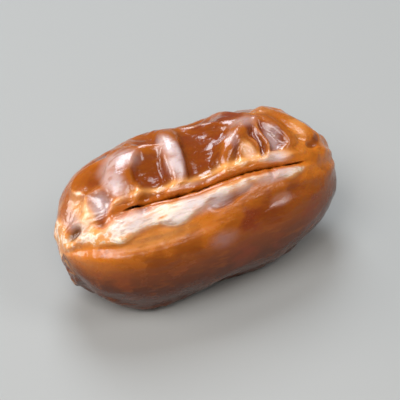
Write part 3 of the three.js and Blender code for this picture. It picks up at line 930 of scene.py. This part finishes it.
def plain_colour(tree, noises, cling, loft_and_shade):
    """Dark in the hollows and caramel where raised, and darker above the slit, at the tip and below. The
    darkness low on the flank is painted shade, and in the hollows and below it is partly the skin's own
    colour and partly painted shade.
    """
    # Partly painted shade: the lower the skin, the darker, in its hollows and low on the flank
    colour = mixed(tree, ranged(tree, loft_and_shade, -0.8, -0.2), DARK, AMBER)
    colour = mixed(tree, ranged(tree, loft_and_shade, -0.3, 0.05), colour, CARAMEL)
    colour = laid_over(tree, colour, "upper", 0.8, AMBER)
    colour = laid_over(tree, colour, "dusk", 0.75, AMBER)
    # Partly painted shade: the underside and the low flank are darkened
    colour = laid_over(tree, colour, "under", 0.95, UNDERSIDE_AND_SHADE)
    return mixed(tree, cling, colour, mixed(tree, ranged(tree, noises["broad"], 0.4, 0.6), DARK, MAROON))


def raised_colour(tree, noises, loft_and_shade, colour):
    """Tan where the skin is raised, and cream in streaks on the highest of it."""
    colour = mixed(tree, ranged(tree, loft_and_shade, 0.12, 0.5, 0.0, 0.75), colour, TAN)
    pale = maths(tree, "ADD", loft_and_shade, ranged(tree, noises["streak"], 0.35, 0.65, -0.3, 0.3))
    pale = maths(tree, "ADD", pale, ranged(tree, noises["blotch"], 0.35, 0.65, -0.25, 0.2))
    pale = maths(tree, "MULTIPLY", ranged(tree, pale, 0.3, 0.9), ranged(tree, loft_and_shade, 0.2, 0.5, 0.0, 0.9))
    return mixed(tree, pale, colour, CREAM)


def marked_colour(tree, noises, colour):
    """The pale spots, some of them painted highlights, and the painted sheen, then fine amber streaks and
    dark specks.
    """
    patchy = ranged(tree, noises["blotch"], 0.3, 0.7, 0.6, 1.0)
    colour = laid_over(tree, colour, "edge", patchy, TAN)
    # Pale skin, partly painted highlight
    colour = laid_over(tree, colour, "pale", patchy, TAN)
    # Painted sheen: greyish highlights painted into the colour
    colour = laid_over(tree, colour, "painted_sheen", patchy, PAINTED_SHEEN_GREY)
    colour = mixed(tree, ranged(tree, noises["streak"], 0.54, 0.7, 0.0, 0.45), colour, AMBER)
    return mixed(tree, ranged(tree, noises["speck"], 0.66, 0.76, 0.0, 0.3), colour, DARK)


def opened_colour(tree, colour):
    """The flesh along the slit and inside it, and the stem's scar."""
    colour = laid_over(tree, colour, "groove", 0.9, FLESH)
    colour = mixed(tree, read(tree, "slit"), colour, FLESH)
    # Painted shade deep in the slit's hollow
    colour = mixed(tree, read(tree, "hollow"), colour, DEEP_SHADE)
    return mixed(tree, read(tree, "scar"), colour, SCAR_BROWN)


def skin_roughness(tree, noises, cling, loft_and_shade):
    """Glossy, and most so in the hollows and where the skin clings."""
    uneven = ranged(tree, noises["blotch"], 0.3, 0.7, -0.03, 0.05)
    rough = maths(tree, "ADD", ranged(tree, loft_and_shade, -0.2, 0.4, 0.2, 0.3), uneven)
    rough = maths(tree, "ADD", rough, maths(tree, "MULTIPLY", read(tree, "taut"), 0.05))
    return maths(tree, "SUBTRACT", rough, maths(tree, "MULTIPLY", cling, 0.06))


def skin_bump(tree, noises):
    streak = maths(tree, "MULTIPLY", noises["streak"], 0.6)
    height = maths(tree, "ADD", streak, maths(tree, "MULTIPLY", noises["speck"], 0.3))
    height = maths(tree, "ADD", height, maths(tree, "MULTIPLY", noises["pores"], 0.22))
    return put(tree, "ShaderNodeBump", {"Strength": 0.65, "Distance": 0.00012, "Height": height}).outputs[0]


def date_material():
    material = bpy.data.materials.new("date_skin")
    material.use_nodes = True
    tree = material.node_tree
    tree.nodes.clear()
    noises = grains(tree)
    cling, loft_and_shade = skin_state(tree, noises["blotch"])
    colour = plain_colour(tree, noises, cling, loft_and_shade)
    colour = raised_colour(tree, noises, loft_and_shade, colour)
    colour = marked_colour(tree, noises, colour)
    bump = skin_bump(tree, noises)
    shader = put(tree, "ShaderNodeBsdfPrincipled", {
        "Base Color": opened_colour(tree, colour),
        "Roughness": skin_roughness(tree, noises, cling, loft_and_shade),
        "Normal": bump,
        "Subsurface Weight": 0.15,
        "Subsurface Radius": (1.0, 0.28, 0.07),
        "Subsurface Scale": 0.0009,
        "IOR": 1.5,
        "Specular IOR Level": 0.4,
        "Coat Weight": ranged(tree, read(tree, "taut"), 0.0, 0.8, 0.28, 0.06),
        "Coat Roughness": 0.1,
        "Coat IOR": 1.5,
        "Coat Normal": bump,
    })
    output = put(tree, "ShaderNodeOutputMaterial")
    tree.links.new(shader.outputs[0], output.inputs["Surface"])
    return material


# The stage, light and camera, in metres

FLOOR_GREY = (0.235, 0.225, 0.210, 1)
FLOOR_ROUGHNESS = 0.7
FLOOR_REACH = 1.5
CAMERA_AZIMUTH = math.radians(-29.5)
CAMERA_ELEVATION = math.radians(40)
LENS = 200  # millimetres, as the sensor is
SENSOR = 36
NEAREST_SEEN = 0.01
FRAME_WIDTH = 0.0500  # what the frame shows across at the date
TARGET = Vector((0.0003, 0, 0.0090))

# Soft boxes: towards which side each stands, how far off, its width and height, its radiance and its colour
SOFT_BOXES = [
    ("key", (-0.38, -0.55, 0.74), 0.60, 0.34, 0.34, 6.5, (1.0, 0.98, 0.95)),
    ("window", (0.17, 0.60, 0.78), 0.50, 0.23, 0.30, 12.5, (0.79, 0.90, 1.0)),
    ("left", (-0.52, -0.19, 0.83), 0.50, 0.28, 0.28, 9.0, (0.90, 0.95, 1.0)),
    ("left_low", (-0.82, 0.50, 0.28), 0.50, 0.22, 0.20, 11.0, (1.0, 0.97, 0.95)),
    ("right", (0.50, -0.47, 0.73), 0.50, 0.20, 0.20, 7.0, (0.92, 0.96, 1.0)),
]
SKY = (0.14, 0.14, 0.145, 1)


def floor_material():
    material = bpy.data.materials.new("floor")
    material.use_nodes = True
    shader = material.node_tree.nodes["Principled BSDF"]
    shader.inputs["Base Color"].default_value = FLOOR_GREY
    shader.inputs["Roughness"].default_value = FLOOR_ROUGHNESS
    return material


def add_floor():
    corners = [(FLOOR_REACH * x, FLOOR_REACH * y, 0) for x, y in ((-1, -1), (1, -1), (1, 1), (-1, 1))]
    mesh = bpy.data.meshes.new("floor")
    mesh.from_pydata(corners, [], [(0, 1, 2, 3)])
    mesh.materials.append(floor_material())
    floor = bpy.data.objects.new("floor", mesh)
    bpy.context.scene.collection.objects.link(floor)


def add_soft_box(name, towards, distance, width, height, radiance, colour):
    light = bpy.data.lights.new(name, "AREA")
    light.shape = "RECTANGLE"
    light.size = width
    light.size_y = height
    light.energy = radiance * math.pi * width * height
    light.color = colour
    lamp = bpy.data.objects.new(name, light)
    lamp.location = TARGET + Vector(towards).normalized() * distance
    lamp.rotation_euler = (TARGET - lamp.location).to_track_quat("-Z", "Y").to_euler()
    bpy.context.scene.collection.objects.link(lamp)


def add_sky():
    world = bpy.data.worlds.new("studio")
    world.use_nodes = True
    world.node_tree.nodes["Background"].inputs["Color"].default_value = SKY
    bpy.context.scene.world = world


def add_camera():
    data = bpy.data.cameras.new("camera")
    data.lens = LENS
    data.sensor_width = SENSOR
    data.clip_start = NEAREST_SEEN
    camera = bpy.data.objects.new("camera", data)
    level = math.cos(CAMERA_ELEVATION)
    across = math.sin(CAMERA_AZIMUTH) * level
    away = -math.cos(CAMERA_AZIMUTH) * level
    back = Vector((across, away, math.sin(CAMERA_ELEVATION)))
    camera.location = TARGET + back * (FRAME_WIDTH * LENS / SENSOR)
    camera.rotation_euler = (-back).to_track_quat("-Z", "Y").to_euler()
    bpy.context.scene.collection.objects.link(camera)
    bpy.context.scene.camera = camera


bpy.context.scene.view_settings.view_transform = "Standard"
add_camera()
add_sky()
add_floor()
for box in SOFT_BOXES:
    add_soft_box(*box)

date = date_object()
date.data.materials.append(date_material())
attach(date, "root")
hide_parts(NODE)
